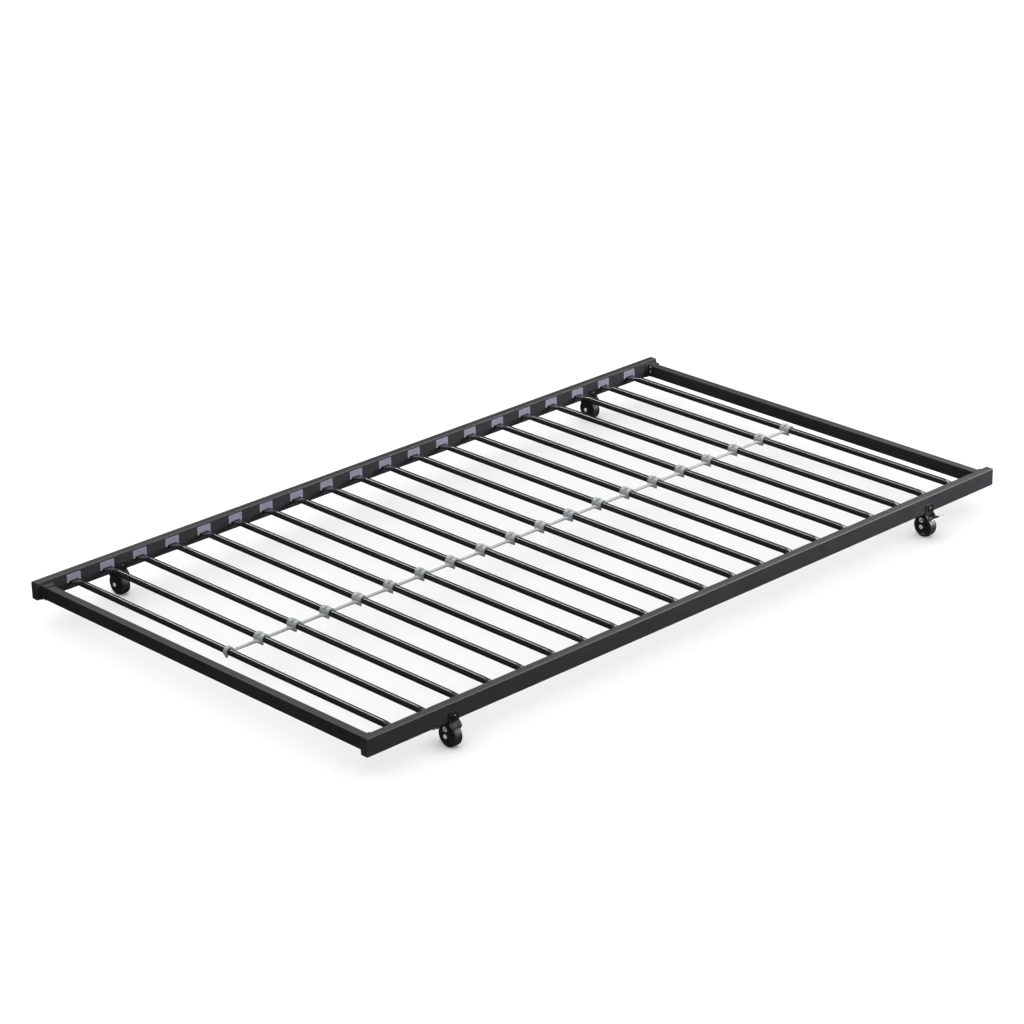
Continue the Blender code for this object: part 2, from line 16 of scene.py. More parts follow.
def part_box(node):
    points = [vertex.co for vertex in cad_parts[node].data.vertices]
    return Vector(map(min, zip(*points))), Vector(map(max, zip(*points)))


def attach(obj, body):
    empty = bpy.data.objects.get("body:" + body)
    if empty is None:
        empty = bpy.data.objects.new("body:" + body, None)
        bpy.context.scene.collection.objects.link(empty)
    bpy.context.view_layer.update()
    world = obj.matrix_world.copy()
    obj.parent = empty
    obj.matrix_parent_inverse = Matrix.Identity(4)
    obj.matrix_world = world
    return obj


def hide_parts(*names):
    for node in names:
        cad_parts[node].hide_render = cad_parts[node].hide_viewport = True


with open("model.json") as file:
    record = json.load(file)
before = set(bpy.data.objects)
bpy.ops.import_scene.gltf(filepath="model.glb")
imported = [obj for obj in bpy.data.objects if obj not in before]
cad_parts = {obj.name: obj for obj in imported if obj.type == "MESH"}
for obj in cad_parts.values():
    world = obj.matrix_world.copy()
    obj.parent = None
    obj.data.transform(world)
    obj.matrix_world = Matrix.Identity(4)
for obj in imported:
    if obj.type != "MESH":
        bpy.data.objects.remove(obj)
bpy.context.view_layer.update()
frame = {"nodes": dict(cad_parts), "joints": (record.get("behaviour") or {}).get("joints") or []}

NODES = frame["nodes"]
CORNERS = ("front_left", "front_right", "rear_left", "rear_right")
BRAKED = ("front_left", "front_right")
SLATS = sorted(name for name in NODES if name.startswith("slat_"))

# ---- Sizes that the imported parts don't give ----

# Mesh tools: when an edge counts as sharp, and how it is rounded
SHARP = radians(35)
EDGE_ANGLE = radians(38)
EDGE_SEGMENTS = 2
SAME_POINT = 1e-6
SAME_PLANE = radians(1)
ROUND_SIDES = 40

# Widths of the rounded edges
TUBE_EDGE = 0.00025
BRACKET_EDGE = 0.0004
CAP_EDGE = 0.0006
LINER_EDGE = 0.0003
CLIP_EDGE = 0.0004
SADDLE_EDGE = 0.0004
FORK_EDGE = 0.0005
NUT_EDGE = 0.0004
LEVER_EDGE = 0.0003

# Slats: round tube, flattened where each end enters its slot
SLAT_SIDES = 48
SLAT_RADIUS = 0.0075
SLAT_RINGS = 14
SLAT_CORNER = 0.0004
FLAT_WIDTH = 0.022
FLAT_THICKNESS = 0.0034
FLAT_DROP = 0.0021
FLAT_LENGTH = 0.045
FLAT_SQUARENESS = 0.7

# Plastic liners that fill the slots above the slats' ends
RAIL_INNER_Y = 0.525
LINER_WIDTH = 0.0374
LINER_TOP = 0.0352
LINER_NOTCH_TOP = 0.0196
LINER_FOOT = 0.0160
LINER_NOTCH_WIDTH = 0.026
LINER_PROUD = 0.0008
LINER_DEPTH = 0.006
LINER_CORNER = 0.0016
LINER_CORNER_STEPS = 5

# Corner screws: two pan heads on each bracket's sleeve
SLEEVE_STANDS_OUT = 0.0023
SCREW_Y = 0.5167
SCREW_HEIGHTS = (0.0150, 0.0265)
SCREW_RADIUS = 0.0031
SCREW_FLAT_SHARE = 0.45
SCREW_HEAD = 0.0018
SCREW_STEPS = 6
SCREW_SIDES = 28
SCREW_CROSS = 0.0019
SCREW_CROSS_WIDTH = 0.0007
SCREW_CROSS_DEPTH = 0.00099

# Centre support: clips joined by rods
CLIP_INNER = 0.0078
CLIP_OUTER = 0.0112
CLIP_SPAN = (-0.013, 0.013)
FIRST_CLIP_SPAN = (-0.007, 0.002)
CLIP_HALF_MOUTH = radians(38)
CLIP_LEG = 0.0036
CLIP_INNER_LEG = CLIP_LEG * 0.6
CLIP_WALL_MIDDLE = (CLIP_INNER + CLIP_OUTER) / 2
CLIP_STEPS = 40
BOSS_RADIUS = 0.0042
BOSS_TOP = 0.0126
BOSS_EDGE = 0.0006
BOSS_EDGE_HEIGHT = 0.0005
BOSS_SIDES = 32
RECESS_RADIUS = 0.0050
RECESS_TAPER = (0.8, 1.6)
RECESS_SIDES = 24
RECESS_DEPTH = 0.0016
RECESS_LEAN = radians(48)
RECESS_Y = -0.0015
ROD_RADIUS = 0.0034
ROD_DROP = 0.0033
ROD_SIDES = 24
SWELL_LENGTH = 0.0065
SWELL_WIDTH = 0.0054
SWELL_STEPS = 6
FLARE_LENGTH = 0.013
FLARE_WIDTH = 0.0120
FLARE_THICKNESS = 0.0024
FLARE_STEPS = 8

# Casters
WHEEL_SIDES = 72
HUB_RADIUS = 0.009
HUB_EDGE = 0.0006
HUB_FOOT = (0.0008, 0.0014)
HUB_FOOT_HEIGHT = 0.0005
DISH_DEPTH = 0.0025
DISH_SHARES = (0.68, 0.71)
RIM_SHARES = (0.755, 0.775)
RIM_EDGE = 0.0004
SHOULDER = 0.0032
SHOULDER_STEPS = 8
AXLE_BORE = 0.0043
AXLE_HEAD = 0.0013
AXLE_HEAD_RADIUS = 0.0049
AXLE_HEAD_FLAT = 0.0030
AXLE_HEAD_STEPS = 5
AXLE_RADIUS = 0.004
RIVET_INNER_RADIUS = 0.0019
RIVET_OUTER_RADIUS = 0.0060
RIVET_HEIGHT = 0.0011
RIVET_TUBE_WALL = 0.0005
RIVET_STEPS = 14
PIN_CLEARANCE = 0.0001
PIN_STANDS_OUT = 0.0002
PIN_SIDES = 24
BOLT_HEAD_RADIUS = 0.006
BOLT_HEAD = 0.003
BOLT_RADIUS = 0.003
BOLT_FLAT_SHARE = 0.52
BOLT_DOME_START = radians(10)
BOLT_DOME_STEPS = 8
SOCKET_RADIUS = 0.0026
SOCKET_DEPTH = 0.0018
NUT_RADIUS = 0.0055
NUT_HEIGHT = 0.004

# Brake lever: two arms inside the fork's legs, with a pedal across their ends
FORK_SHEET = 0.0018
LEVER_SHEET = 0.001
LEVER_CLEARANCE = 0.0003
LEVER_EYE_RADIUS = 0.0055
LEVER_EYE_ENDS = (radians(-110), radians(80))
LEVER_EYE_STEPS = 24
PEDAL_START = (-0.0256, 0.0058)
PEDAL_END = (-0.0370, 0.0126)
PEDAL_SHEET = 0.0014
PEDAL_HALF_WIDTH = 0.022
PEDAL_STEPS = 8
PEDAL_CURL = 0.0006
ARM_TIP = 0.004
LEVER_TILTS = {"front_left": radians(30), "front_right": 0.0}

# Camera: where it stands, from the middle of the bed
CAMERA_AZIMUTH = radians(-43.1032)
CAMERA_ELEVATION = radians(22.7802)
CAMERA_ROLL = radians(-1.3985)
CAMERA_OFFSET = (-0.034372, 0.061715, 7.460365)
CAMERA_AIM_HEIGHT = 0.058
CAMERA_LENS = 118.22
CAMERA_SENSOR = 36.0

# Colours of wear
RUB_MARK = (0.085, 0.083, 0.082)
BARE_METAL = (0.16, 0.155, 0.15)
ZINC_PIT = (0.34, 0.33, 0.32)
FLOOR_DUST = (0.060, 0.057, 0.053)
SOILED_SHARE = 0.72

FLOOR_SIZE = 60.0
SKY_STRENGTH = 1.42

# Lamps: name, place, the point each aims at, width and height, and power in watts
LAMPS = (
    ("overhead", (1.2, -0.6, 4.0), (0.8, -0.3, 0.0), (2.4, 2.4), 25.0),
    ("strip_behind", (0.1, 3.8, 4.6), (0.1, 0.0, 0.0), (0.8, 2.8), 190.0),
    ("upper_right", (3.3, 0.2, 4.2), (0.6, 0.0, 0.0), (3.0, 2.6), 280.0),
    ("front_right", (2.1, -2.1, 0.9), (0.8, -0.5, 0.05), (1.4, 0.9), 100.0),
)


# ---- Shader tools ----

class Surface:
    """A material under construction: noise, mixes and bump on one Principled shader."""

    def __init__(self, name):
        self.material = bpy.data.materials.new(name)
        self.material.use_nodes = True
        self.tree = self.material.node_tree
        self.shader = self.tree.nodes["Principled BSDF"]
        self.place = self.tree.nodes.new("ShaderNodeTexCoord").outputs["Object"]
        self.height = None

    def link(self, source, target):
        self.tree.links.new(source, target)

    def stretched(self, scale):
        mapping = self.tree.nodes.new("ShaderNodeMapping")
        mapping.inputs["Scale"].default_value = scale
        self.link(self.place, mapping.inputs["Vector"])
        return mapping.outputs["Vector"]

    def noise(self, scale, detail=3.0, roughness=0.55, stretch=None):
        node = self.tree.nodes.new("ShaderNodeTexNoise")
        node.inputs["Scale"].default_value = scale
        node.inputs["Detail"].default_value = detail
        node.inputs["Roughness"].default_value = roughness
        self.link(self.stretched(stretch) if stretch else self.place, node.inputs["Vector"])
        return node.outputs["Fac"]

    def remap(self, source, low, high, to_low=0.0, to_high=1.0):
        node = self.tree.nodes.new("ShaderNodeMapRange")
        node.inputs["From Min"].default_value = low
        node.inputs["From Max"].default_value = high
        node.inputs["To Min"].default_value = to_low
        node.inputs["To Max"].default_value = to_high
        self.link(source, node.inputs["Value"])
        return node.outputs["Result"]

    def times(self, first, second):
        node = self.tree.nodes.new("ShaderNodeMath")
        node.operation = "MULTIPLY"
        self.link(first, node.inputs[0])
        self.link(second, node.inputs[1])
        return node.outputs["Value"]

    def blend(self, share, first, second):
        """Colours may be fixed values or sockets."""
        node = self.tree.nodes.new("ShaderNodeMix")
        node.data_type = "RGBA"
        self.link(share, node.inputs["Factor"])
        for key, colour in (("A", first), ("B", second)):
            socket = next(s for s in node.inputs if s.name == key and s.type == "RGBA")
            if isinstance(colour, tuple):
                socket.default_value = (*colour, 1.0)
            else:
                self.link(colour, socket)
        return next(s for s in node.outputs if s.type == "RGBA")

    def colour(self, socket):
        self.link(socket, self.shader.inputs["Base Color"])

    def roughness(self, socket):
        self.link(socket, self.shader.inputs["Roughness"])

    def bump(self, socket, strength, distance):
        node = self.tree.nodes.new("ShaderNodeBump")
        node.inputs["Strength"].default_value = strength
        node.inputs["Distance"].default_value = distance
        self.link(socket, node.inputs["Height"])
        if self.height:
            self.link(self.height, node.inputs["Normal"])
        self.height = node.outputs["Normal"]
        self.link(self.height, self.shader.inputs["Normal"])

    def fix(self, **values):
        """Sets sockets that are the same all over the surface."""
        for key, value in values.items():
            self.shader.inputs[key.replace("_", " ")].default_value = value


# ---- Materials ----

def powder_coat(name, dark, light, smooth, rough, stretch=None):
    """Satin black powder coat: orange-peel grain, cloudy tone and a few pale rub marks."""
    coat = Surface(name)
    clouds = coat.remap(coat.noise(7.0, 5.0), 0.32, 0.68)
    tone = coat.blend(clouds, dark, light)
    rubs = coat.remap(coat.noise(60.0, 6.0, 0.7, stretch or (1.0, 1.0, 3.0)), 0.70, 0.78)
    patches = coat.remap(coat.noise(9.0, 2.0), 0.52, 0.66)
    marks = coat.times(rubs, patches)
    coat.colour(coat.blend(marks, tone, RUB_MARK))
    coat.roughness(coat.remap(coat.noise(45.0, 5.0), 0.30, 0.70, smooth, rough))
    coat.bump(coat.noise(1500.0, 2.0), 0.10, 0.0002)
    coat.bump(coat.noise(260.0, 3.0), 0.05, 0.0004)
    coat.fix(Specular_IOR_Level=0.45)
    return coat.material


def moulded_plastic(name, first, second, smooth, rough, grain=900.0):
    """Moulded plastic: fine spark grain, faint flow streaks and dust in the tone."""
    plastic = Surface(name)
    streaks = plastic.remap(plastic.noise(30.0, 4.0, 0.6, (1.0, 0.35, 1.0)), 0.35, 0.65)
    tone = plastic.blend(streaks, first, second)
    specks = plastic.remap(plastic.noise(700.0, 2.0), 0.66, 0.74)
    soiled = tuple(SOILED_SHARE * part for part in first)
    plastic.colour(plastic.blend(plastic.times(specks, streaks), tone, soiled))
    plastic.roughness(plastic.remap(plastic.noise(110.0, 4.0), 0.32, 0.68, smooth, rough))
    plastic.bump(plastic.noise(grain, 3.0), 0.14, 0.0002)
    plastic.bump(plastic.noise(55.0, 2.0), 0.06, 0.0006)
    plastic.fix(Specular_IOR_Level=0.35)
    return plastic.material


def painted_steel(name):
    """Glossy black dip paint over stamped sheet, rubbed to bare metal in small spots."""
    paint = Surface(name)
    clouds = paint.remap(paint.noise(40.0, 4.0), 0.35, 0.65)
    tone = paint.blend(clouds, (0.0065, 0.0065, 0.0070), (0.0125, 0.0120, 0.0125))
    chips = paint.remap(paint.noise(520.0, 5.0, 0.65), 0.715, 0.74)
    worn = paint.times(chips, paint.remap(paint.noise(70.0, 2.0), 0.55, 0.62))
    paint.colour(paint.blend(worn, tone, BARE_METAL))
    paint.roughness(paint.remap(paint.noise(150.0, 4.0), 0.30, 0.70, 0.24, 0.40))
    paint.bump(paint.noise(420.0, 3.0), 0.12, 0.0003)
    paint.fix(Specular_IOR_Level=0.5)
    return paint.material


def zinc_plate(name, bright, dull):
    """Bright zinc plate: fine brushing, dull blooms and a few dark pits."""
    zinc = Surface(name)
    brushing = zinc.noise(900.0, 4.0, 0.6, (0.15, 1.0, 1.0))
    blooms = zinc.remap(zinc.noise(160.0, 4.0), 0.38, 0.66)
    tone = zinc.blend(blooms, bright, dull)
    pits = zinc.remap(zinc.noise(1400.0, 2.0), 0.68, 0.75)
    zinc.colour(zinc.blend(pits, tone, ZINC_PIT))
    zinc.roughness(zinc.remap(brushing, 0.30, 0.70, 0.20, 0.38))
    zinc.bump(brushing, 0.10, 0.0001)
    zinc.fix(Metallic=0.45)
    return zinc.material


def tread(name):
    """Hard black wheel rubber: matt grain, scuffs round the rim and a little floor dust."""
    rubber = Surface(name)
    clouds = rubber.remap(rubber.noise(90.0, 5.0), 0.36, 0.64)
    tone = rubber.blend(clouds, (0.0090, 0.0088, 0.0098), (0.0170, 0.0166, 0.0168))
    scuffs = rubber.remap(rubber.noise(260.0, 6.0, 0.7, (3.0, 1.0, 1.0)), 0.62, 0.74)
    dusty = rubber.times(scuffs, rubber.remap(rubber.noise(45.0, 2.0), 0.45, 0.65))
    rubber.colour(rubber.blend(dusty, tone, FLOOR_DUST))
    rubber.roughness(rubber.remap(rubber.noise(200.0, 4.0), 0.30, 0.70, 0.36, 0.56))
    rubber.bump(rubber.noise(1100.0, 3.0), 0.18, 0.0002)
    return rubber.material


def floor_paint(name):
    floor = Surface(name)
    clouds = floor.remap(floor.noise(1.4, 3.0), 0.35, 0.65)
    floor.colour(floor.blend(clouds, (0.895, 0.895, 0.895), (0.905, 0.905, 0.905)))
    floor.roughness(floor.remap(floor.noise(6.0, 3.0), 0.3, 0.7, 0.85, 0.95))
    floor.bump(floor.noise(180.0, 2.0), 0.02, 0.0003)
    floor.fix(Specular_IOR_Level=0.1)
    return floor.material


FINISHES = {
    "frame_coat": powder_coat(
        "frame_coat", (0.0104, 0.0094, 0.0120), (0.0134, 0.0123, 0.0153), 0.46, 0.56),
    "slat_coat": powder_coat(
        "slat_coat", (0.0092, 0.0083, 0.0100), (0.0120, 0.0110, 0.0130), 0.15, 0.22, (1.0, 0.3, 1.0)),
    "cap_plastic": moulded_plastic(
        "cap_plastic", (0.0130, 0.0128, 0.0140), (0.0190, 0.0188, 0.0200), 0.38, 0.52),
    "liner_plastic": moulded_plastic(
        "liner_plastic", (0.128, 0.131, 0.172), (0.150, 0.154, 0.198), 0.40, 0.55),
    "support_plastic": moulded_plastic(
        "support_plastic", (0.170, 0.180, 0.184), (0.205, 0.215, 0.220), 0.42, 0.56),
    "painted_steel": painted_steel("painted_steel"),
    "zinc_plate": zinc_plate("zinc_plate", (0.33, 0.34, 0.36), (0.23, 0.23, 0.24)),
    # A dimmed copy of the zinc for the brake levers: painted shade, darker than the screws' zinc so the
    # levers' lit faces look shaded
    "lever_zinc_painted_shade": zinc_plate("lever_zinc_painted_shade", (0.150, 0.155, 0.165), (0.100, 0.101, 0.106)),
    # Near-white zinc for the rivet heads: partly their bright metal, partly a painted highlight that
    # whitens them as glints
    "rivet_zinc_painted_glint": zinc_plate("rivet_zinc_painted_glint", (0.84, 0.85, 0.87), (0.66, 0.66, 0.67)),
    "tread": tread("tread"),
    "floor_paint": floor_paint("floor_paint"),
}


# ---- Mesh tools ----

def in_space(axis, along, a, b):
    """The point at `along` on the axis, with a and b on the other two axes in X, Y, Z order."""
    if axis == "X":
        return (along, a, b)
    if axis == "Y":
        return (a, along, b)
    return (a, b, along)


def loft(mesh, rings, closed=False):
    """Skins rings of points that match one to one. A closed loft joins its last ring to its first."""
    loops = [[mesh.verts.new(point) for point in ring] for ring in rings]
    count = len(loops[0])
    pairs = list(zip(loops, loops[1:]))
    if closed:
        pairs.append((loops[-1], loops[0]))
    else:
        mesh.faces.new(loops[0])
        mesh.faces.new(loops[-1])
    for near, far in pairs:
        for i in range(count):
            j = (i + 1) % count
            mesh.faces.new((near[i], near[j], far[j], far[i]))


def prism(mesh, outline, axis, start, end):
    loft(mesh, [[in_space(axis, along, a, b) for a, b in outline] for along in (start, end)])


def arc(centre, radius, start, end, steps):
    turns = [start + (end - start) * i / steps for i in range(steps + 1)]
    return [(centre[0] + radius * cos(t), centre[1] + radius * sin(t)) for t in turns]


def circle(radius, sides=ROUND_SIDES, centre=(0.0, 0.0)):
    return arc(centre, radius, 0.0, 2 * pi * (sides - 1) / sides, sides - 1)


def turned(mesh, profile, axis, centre, sides=ROUND_SIDES, bored=False):
    """A solid of revolution round an axis through the centre, from (along, radius) points."""
    rings = []
    for along, radius in profile:
        ring = [Vector(in_space(axis, along, a, b)) + centre for a, b in circle(radius, sides)]
        rings.append(ring)
    loft(mesh, rings, closed=bored)


def make_piece(name, mesh, finish, body):
    """Turns a finished mesh into a named piece that rides on its body."""
    bmesh.ops.recalc_face_normals(mesh, faces=mesh.faces)
    data = bpy.data.meshes.new(name)
    mesh.to_mesh(data)
    mesh.free()
    data.shade_smooth()
    data.set_sharp_from_angle(angle=SHARP)
    data.materials.append(FINISHES[finish])
    piece = bpy.data.objects.new(name, data)
    bpy.context.scene.collection.objects.link(piece)
    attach(piece, body)
    return piece


def soften_edges(piece, width):
    """Rounds the piece's sharp edges, and keeps its flat faces flat in the light."""
    bevel = piece.modifiers.new("edges", "BEVEL")
    bevel.width = width
    bevel.segments = EDGE_SEGMENTS
    bevel.limit_method = "ANGLE"
    bevel.angle_limit = EDGE_ANGLE
    shading = piece.modifiers.new("shading", "WEIGHTED_NORMAL")
    shading.keep_sharp = True


def rounded_copy(node, name, finish, body, width):
    """A new piece in a CAD part's shape, with its facets joined and its edges rounded."""
    mesh = bmesh.new()
    mesh.from_mesh(NODES[node].data)
    bmesh.ops.remove_doubles(mesh, verts=mesh.verts, dist=SAME_POINT)
    bmesh.ops.dissolve_limit(mesh, angle_limit=SAME_PLANE, verts=mesh.verts, edges=mesh.edges)
    piece = make_piece(name, mesh, finish, body)
    soften_edges(piece, width)
    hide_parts(node)
    return piece


def cut(piece, shape):
    """Takes a shape out of a piece for good."""
    bmesh.ops.recalc_face_normals(shape, faces=shape.faces)
    data = bpy.data.meshes.new("cutter")
    shape.to_mesh(data)
    shape.free()
    tool = bpy.data.objects.new("cutter", data)
    bpy.context.scene.collection.objects.link(tool)
    step = piece.modifiers.new("cut", "BOOLEAN")
    step.operation = "DIFFERENCE"
    step.solver = "EXACT"
    step.object = tool
    bpy.context.view_layer.update()
    seen = piece.evaluated_get(bpy.context.evaluated_depsgraph_get())
    result = bpy.data.meshes.new_from_object(seen)
    piece.modifiers.remove(step)
    old = piece.data
    piece.data = result
    result.name = piece.name
    bpy.data.meshes.remove(old)
    bpy.data.objects.remove(tool)
    bpy.data.meshes.remove(data)
    piece.data.set_sharp_from_angle(angle=SHARP)


def middle(node):
    low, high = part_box(node)
    return (low + high) / 2


def outward(node, axis):
    """+1 or -1: the side of the bed that the part is on."""
    return copysign(1.0, middle(node)[axis])


RAIL_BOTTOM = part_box("side_rail_front")[0].z
SLAT_AXIS_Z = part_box(SLATS[0])[1].z - SLAT_RADIUS
SLAT_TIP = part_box(SLATS[0])[1].y


# ---- Frame ----

def coat(node, edge):
    rounded_copy(node, f"coated_{node}", "frame_coat", "bed_frame", edge)


def dress_frame():
    for node in ("side_rail_front", "side_rail_rear", "end_rail_left", "end_rail_right"):
        coat(node, TUBE_EDGE)
    for corner in CORNERS:
        coat(f"corner_bracket_{corner}", BRACKET_EDGE)
        cap = f"end_cap_{corner}"
        rounded_copy(cap, f"moulded_{cap}", "cap_plastic", "bed_frame", CAP_EDGE)


def cross_outline(radius, width):
    """A plus sign, as an outline that runs round it once."""
    half = width / 2
    quarter = [(radius, -half), (radius, half), (half, half)]
    points = []
    for turn in range(4):
        c, s = round(cos(turn * pi / 2)), round(sin(turn * pi / 2))
        points += [(a * c - b * s, a * s + b * c) for a, b in quarter]
    return points


def make_corner_screw(name, centre, inward):
    """A pan head with a cross recess, on a face that looks along X toward the middle."""
    profile = []
    for step in range(SCREW_STEPS + 1):
        turn = pi / 2 * step / SCREW_STEPS
        share = SCREW_FLAT_SHARE + (1 - SCREW_FLAT_SHARE) * cos(turn)
        profile.append((inward * SCREW_HEAD * sin(turn), SCREW_RADIUS * share))
    mesh = bmesh.new()
    turned(mesh, profile, "X", centre, sides=SCREW_SIDES)
    head = make_piece(name, mesh, "zinc_plate", "bed_frame")
    cross = bmesh.new()
    outline = cross_outline(SCREW_CROSS, SCREW_CROSS_WIDTH)
    tip = centre.x + inward * SCREW_HEAD
    placed = [(centre.y + a, centre.z + b) for a, b in outline]
    prism(cross, placed, "X", tip + inward * SCREW_HEAD, tip - inward * SCREW_CROSS_DEPTH)
    cut(head, cross)


def make_corner_screws():
    for corner in CORNERS:
        bracket = f"corner_bracket_{corner}"
        end, side = outward(bracket, 0), outward(bracket, 1)
        low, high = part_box("end_rail_left" if end < 0 else "end_rail_right")
        sleeve_face = min(abs(low.x), abs(high.x)) - SLEEVE_STANDS_OUT
        for number, height in enumerate(SCREW_HEIGHTS, start=1):
            centre = Vector((end * sleeve_face, side * SCREW_Y, RAIL_BOTTOM + height))
            make_corner_screw(f"corner_screw_{corner}_{number}", centre, -end)


def liner_outline():
    """An upside-down U with rounded upper corners."""
    half, notch = LINER_WIDTH / 2, LINER_NOTCH_WIDTH / 2
    side, top = half - LINER_CORNER, LINER_TOP - LINER_CORNER
    points = [(-half, LINER_FOOT), (-notch, LINER_FOOT), (-notch, LINER_NOTCH_TOP)]
    points += [(notch, LINER_NOTCH_TOP), (notch, LINER_FOOT), (half, LINER_FOOT)]
    points += arc((side, top), LINER_CORNER, 0.0, pi / 2, LINER_CORNER_STEPS)
    points += arc((-side, top), LINER_CORNER, pi / 2, pi, LINER_CORNER_STEPS)
    return points


def make_slot_liners():
    """A U of plastic fills each slot above its slat's flattened end."""
    for side_name, side in (("front", -1), ("rear", 1)):
        for slat in SLATS:
            x = middle(slat).x
            outline = [(x + a, RAIL_BOTTOM + b) for a, b in liner_outline()]
            mesh = bmesh.new()
            face = side * (RAIL_INNER_Y - LINER_PROUD)
            prism(mesh, outline, "Y", face, side * (RAIL_INNER_Y + LINER_DEPTH))
            name = f"slot_liner_{side_name}_{slat[-2:]}"
            liner = make_piece(name, mesh, "liner_plastic", "bed_frame")
            soften_edges(liner, LINER_EDGE)


# ---- Slats and their centre support ----

def eased(share):
    """Smooth start and end between 0 and 1."""
    return share * share * (3 - 2 * share)


def slat_ring(x, y, roundness, shrink=0.0):
    """Points round a slat's section: 0 is the flattened end, 1 is the round tube."""
    points = []
    for a, b in circle(1.0, SLAT_SIDES):
        flat_a = copysign((FLAT_WIDTH / 2 - shrink) * abs(a) ** FLAT_SQUARENESS, a)
        flat_b = copysign((FLAT_THICKNESS / 2 - shrink) * abs(b) ** FLAT_SQUARENESS, b) - FLAT_DROP
        across = flat_a + ((SLAT_RADIUS - shrink) * a - flat_a) * roundness
        up = flat_b + ((SLAT_RADIUS - shrink) * b - flat_b) * roundness
        points.append((x + across, y, SLAT_AXIS_Z + up))
    return points


def make_slats():
    """The tube turns from flat to round in a smooth curve, over the length next to each rail."""
    stations = [(SLAT_TIP, 0.0, SLAT_CORNER), (SLAT_TIP - SLAT_CORNER, 0.0, 0.0)]
    for i in range(SLAT_RINGS + 1):
        share = i / SLAT_RINGS
        stations.append((RAIL_INNER_Y - FLAT_LENGTH * share, eased(share), 0.0))
    stations += [(-y, roundness, shrink) for y, roundness, shrink in reversed(stations)]
    for slat in SLATS:
        x = middle(slat).x
        mesh = bmesh.new()
        loft(mesh, [slat_ring(x, *station) for station in stations])
        tube = make_piece(f"tube_{slat}", mesh, "slat_coat", "bed_frame")
        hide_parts(slat)


def lowered(point, drop):
    return (point[0], point[1] - drop)


def clip_outline(x):
    """A C round the slat, with two straight legs that reach down past its widest point."""
    start, end = CLIP_HALF_MOUTH - pi / 2, 1.5 * pi - CLIP_HALF_MOUTH
    outer = arc((x, 0.0), CLIP_OUTER, start, end, CLIP_STEPS)
    inner = arc((x, 0.0), CLIP_INNER, end, start, CLIP_STEPS)
    left_leg = [lowered(outer[-1], CLIP_LEG), lowered(inner[0], CLIP_INNER_LEG)]
    right_leg = [lowered(inner[-1], CLIP_INNER_LEG), lowered(outer[0], CLIP_LEG)]
    return outer + left_leg + inner + right_leg


def make_clips(places):
    """A C over each slat. All but the narrow first have a round recess in their left shoulder."""
    mesh = bmesh.new()
    recesses = bmesh.new()
    lean = Matrix.Rotation(-RECESS_LEAN, 4, "Y")
    inner, outer = RECESS_TAPER
    cone = (
        (CLIP_OUTER - RECESS_DEPTH, RECESS_RADIUS * inner),
        (2 * CLIP_OUTER, RECESS_RADIUS * outer),
    )
    for number, x in enumerate(places):
        near, far = CLIP_SPAN if number else FIRST_CLIP_SPAN
        outline = [(a, SLAT_AXIS_Z + b) for a, b in clip_outline(x)]
        prism(mesh, outline, "Y", near, far)
        if not number:
            continue
        place = Vector((x, RECESS_Y, SLAT_AXIS_Z))
        rings = []
        for height, radius in cone:
            points = [Vector((a, b, height)) for a, b in circle(radius, RECESS_SIDES)]
            rings.append([lean @ point + place for point in points])
        loft(recesses, rings)
    clips = make_piece("centre_support_clips", mesh, "support_plastic", "bed_frame")
    cut(clips, recesses)
    soften_edges(clips, CLIP_EDGE)
    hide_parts("centre_support_chain")


def make_bosses(places):
    """A low round boss with a dimpled top on each clip but the first."""
    profile = (
        (CLIP_WALL_MIDDLE, BOSS_RADIUS),
        (BOSS_TOP - BOSS_EDGE_HEIGHT, BOSS_RADIUS),
        (BOSS_TOP, BOSS_RADIUS - BOSS_EDGE),
        (BOSS_TOP, BOSS_RADIUS * 0.5),
        (BOSS_TOP - BOSS_EDGE, BOSS_RADIUS * 0.4),
    )
    mesh = bmesh.new()
    for x in places[1:]:
        turned(mesh, profile, "Z", Vector((x, 0.0, SLAT_AXIS_Z)), sides=BOSS_SIDES)
    make_piece("centre_support_bosses", mesh, "support_plastic", "bed_frame")


def rod_ring(x, half_width, half_height):
    """A rounded section across the rod."""
    axis_z = SLAT_AXIS_Z - ROD_DROP
    return [(x, half_width * a, axis_z + half_height * b) for a, b in circle(1.0, ROD_SIDES)]


def make_rods(places):
    """Round rods that swell a little where they leave a clip, and fan out flat to meet the next."""
    mesh = bmesh.new()
    for x, next_x in zip(places, places[1:]):
        start, end = x + CLIP_WALL_MIDDLE, next_x - CLIP_WALL_MIDDLE
        rings = []
        for step in range(SWELL_STEPS + 1):
            gone = step / SWELL_STEPS
            half_width = ROD_RADIUS + (SWELL_WIDTH - ROD_RADIUS) * eased(1 - gone)
            rings.append(rod_ring(start + SWELL_LENGTH * gone, half_width, ROD_RADIUS))
        for step in range(FLARE_STEPS + 1):
            share = step / FLARE_STEPS
            half_width = ROD_RADIUS + (FLARE_WIDTH - ROD_RADIUS) * eased(share)
            half_height = ROD_RADIUS + (FLARE_THICKNESS - ROD_RADIUS) * eased(share)
            rings.append(rod_ring(end - FLARE_LENGTH * (1 - share), half_width, half_height))
        loft(mesh, rings)
    make_piece("centre_support_rods", mesh, "support_plastic", "bed_frame")


def make_centre_support():
    places = [middle(slat).x for slat in SLATS]
    make_clips(places)
    make_bosses(places)
    make_rods(places)


# ---- Casters ----

